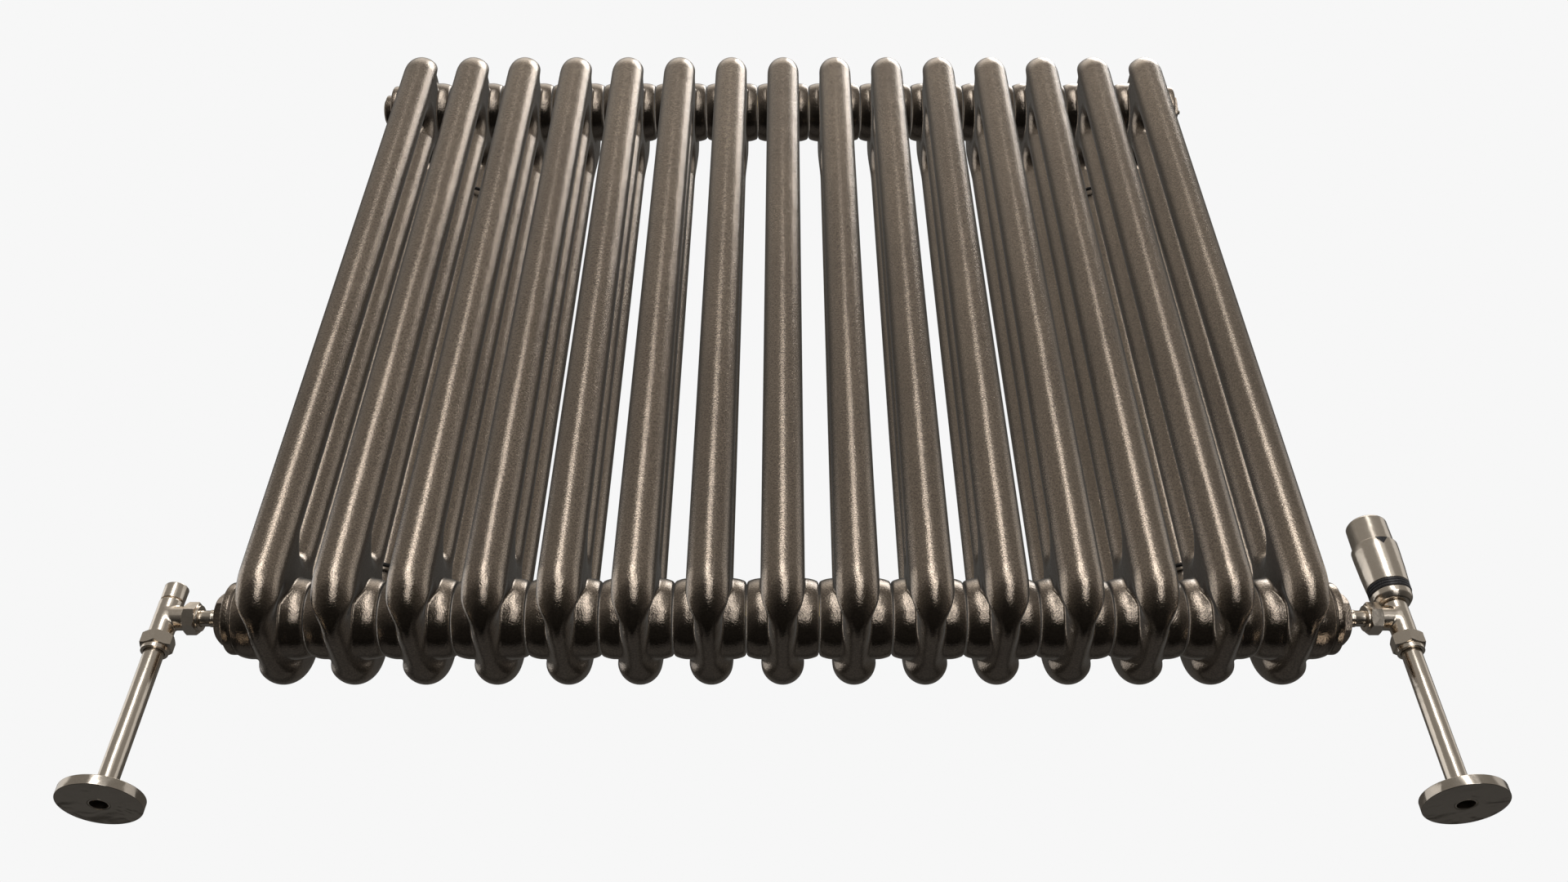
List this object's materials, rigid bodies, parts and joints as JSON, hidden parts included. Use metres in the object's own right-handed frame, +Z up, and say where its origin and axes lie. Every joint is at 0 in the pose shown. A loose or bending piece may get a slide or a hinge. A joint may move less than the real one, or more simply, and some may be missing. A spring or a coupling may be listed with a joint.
{
  "type": "cast iron radiator",
  "caption": "Tall sectional column radiator with rounded cast sections, end plugs, an angle thermostatic valve, an angle lockshield valve, floor pipes with cover plates and wall brackets.",
  "frame": {"origin": "on the wall's face, at floor level, midway along the row of sections", "axes": "+X along the row towards the thermostatic valve, +Y into the wall (the front faces -Y), +Z up"},
  "size_m": [1.09, 0.1702, 0.9374],
  "materials": {
    "casting": "polished and lacquered bronze-pewter casting",
    "inner_brass": "plain turned brass",
    "plated_fitting": "satin nickel plate",
    "pipe": "satin nickel plate, drawn lengthways",
    "floor_plate": "satin nickel plate, spun",
    "thermostat_head": "satin nickel plate",
    "bracket_steel": "dark painted steel"
  },
  "bodies": {
    "radiator": {"section_1": "casting", "section_2": "casting", "section_3": "casting", "section_4": "casting", "section_5": "casting", "section_6": "casting", "section_7": "casting", "section_8": "casting", "section_9": "casting", "section_10": "casting", "section_11": "casting", "section_12": "casting", "section_13": "casting", "section_14": "casting", "section_15": "casting", "nipple_1": "inner_brass", "nipple_2": "inner_brass", "nipple_3": "inner_brass", "nipple_4": "inner_brass", "nipple_5": "inner_brass", "nipple_6": "inner_brass", "nipple_7": "inner_brass", "nipple_8": "inner_brass", "nipple_9": "inner_brass", "nipple_10": "inner_brass", "nipple_11": "inner_brass", "nipple_12": "inner_brass", "nipple_13": "inner_brass", "nipple_14": "inner_brass", "blank_plug": "casting", "vent_plug": "casting", "left_bush": "casting", "right_bush": "casting", "left_union_nut": "plated_fitting", "left_tail": "plated_fitting", "left_compression_nut": "plated_fitting", "left_olive": "inner_brass", "left_pipe": "pipe", "right_union_nut": "plated_fitting", "right_tail": "plated_fitting", "right_compression_nut": "plated_fitting", "right_olive": "inner_brass", "right_pipe": "pipe", "lockshield_body": "plated_fitting", "thermostatic_body": "plated_fitting", "thermostatic_collar": "plated_fitting", "left_lower_bracket": "bracket_steel", "left_upper_bracket": "bracket_steel", "right_lower_bracket": "bracket_steel", "right_upper_bracket": "bracket_steel"},
    "head": {"thermostatic_head": "thermostat_head", "thermostatic_sensor": "inner_brass"},
    "pin": {"thermostatic_pin": "bracket_steel"},
    "cap": {"lockshield_cap": "plated_fitting"},
    "spindle": {"lockshield_spindle": "inner_brass"},
    "bleed_screw": {"vent_screw": "plated_fitting"},
    "left_plate": {"left_floor_plate": "floor_plate"},
    "right_plate": {"right_floor_plate": "floor_plate"}
  },
  "joints": [
    {"name": "head_turn", "type": "hinge", "parent": "radiator", "child": "head", "pos_m": [0.513, -0.1, 0.23], "axis": [0, 0, 1], "range_deg": [-150, 150]},
    {"name": "pin_slide", "type": "slide", "parent": "radiator", "child": "pin", "axis": [0, 0, 1], "range_m": [-0.0013, 0.0013]},
    {"name": "cap_pull", "type": "slide", "parent": "radiator", "child": "cap", "axis": [0, 0, 1], "range_m": [0, 0.02]},
    {"name": "spindle_turn", "type": "hinge", "parent": "radiator", "child": "spindle", "pos_m": [-0.513, -0.1, 0.18], "axis": [0, 0, 1], "range_deg": [0, 1080]},
    {"name": "bleed_screw_turn", "type": "hinge", "parent": "radiator", "child": "bleed_screw", "pos_m": [0.46, -0.1, 0.896], "axis": [1, 0, 0], "range_deg": [0, 360]},
    {"name": "left_plate_lift", "type": "slide", "parent": "radiator", "child": "left_plate", "axis": [0, 0, 1], "range_m": [0, 0.05]},
    {"name": "right_plate_lift", "type": "slide", "parent": "radiator", "child": "right_plate", "axis": [0, 0, 1], "range_m": [0, 0.05]}
  ],
  "couplings": [
    {"joint": "pin_slide", "follows": "head_turn", "m_per_rad": 0.000477}
  ]
}
